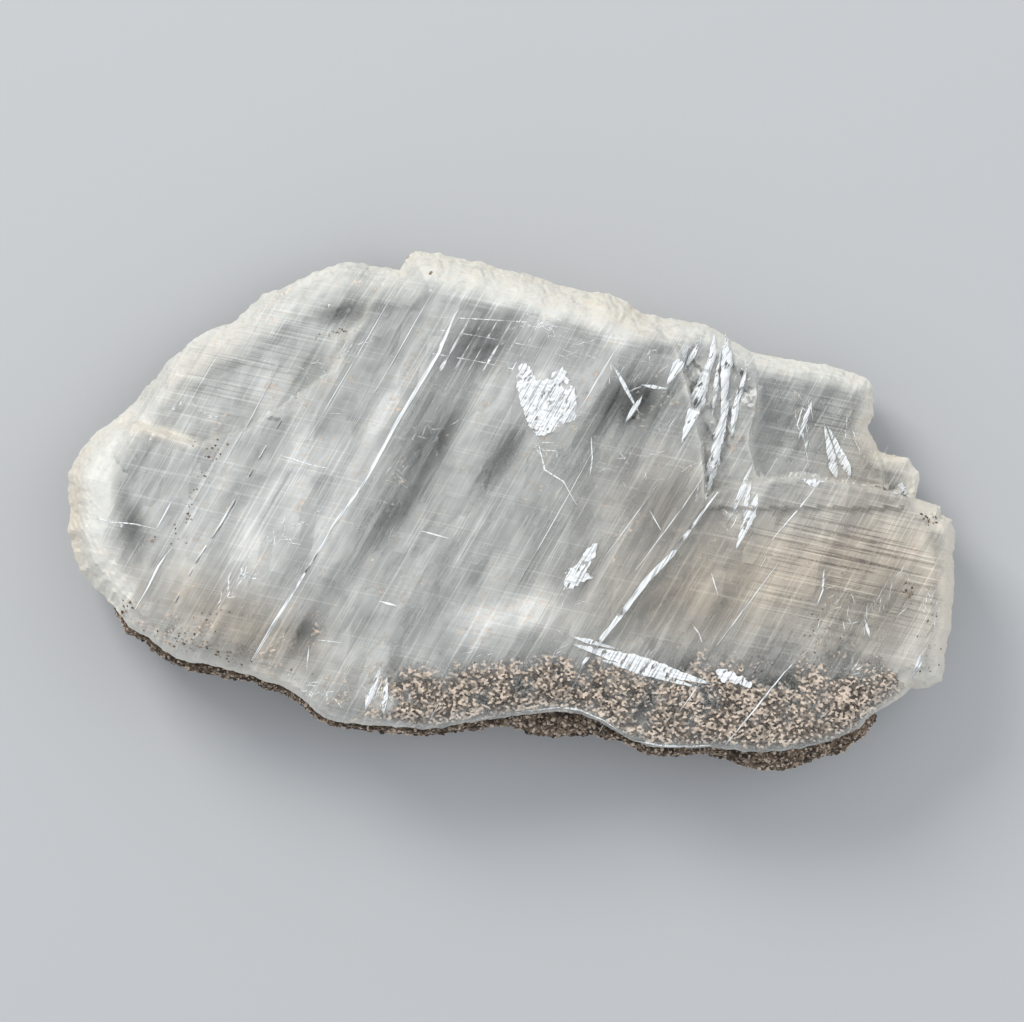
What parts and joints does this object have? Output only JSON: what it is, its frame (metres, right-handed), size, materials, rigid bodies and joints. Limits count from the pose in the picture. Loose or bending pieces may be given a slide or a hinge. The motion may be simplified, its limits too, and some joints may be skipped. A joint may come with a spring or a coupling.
{
  "type": "gypsum crystal slab",
  "caption": "Clear cleaved gypsum (selenite) slab with a frosted broken rim and a crust of sand and clay along its lower edge, lying on its back face.",
  "frame": {"origin": "middle of the slab's footprint, at the height of its back cleavage face", "axes": "+X along the slab's length towards its stepped end, +Y across it towards the frosted rim, +Z out of its front cleavage face"},
  "size_m": [0.138, 0.0809, 0.0243],
  "materials": {
    "selenite": "clear crystal with white cleavage veils and a frosted rim",
    "grit": "rough sand and clay"
  },
  "bodies": {
    "root": {"selenite": "selenite", "grit_crust": "grit"}
  },
  "joints": []
}
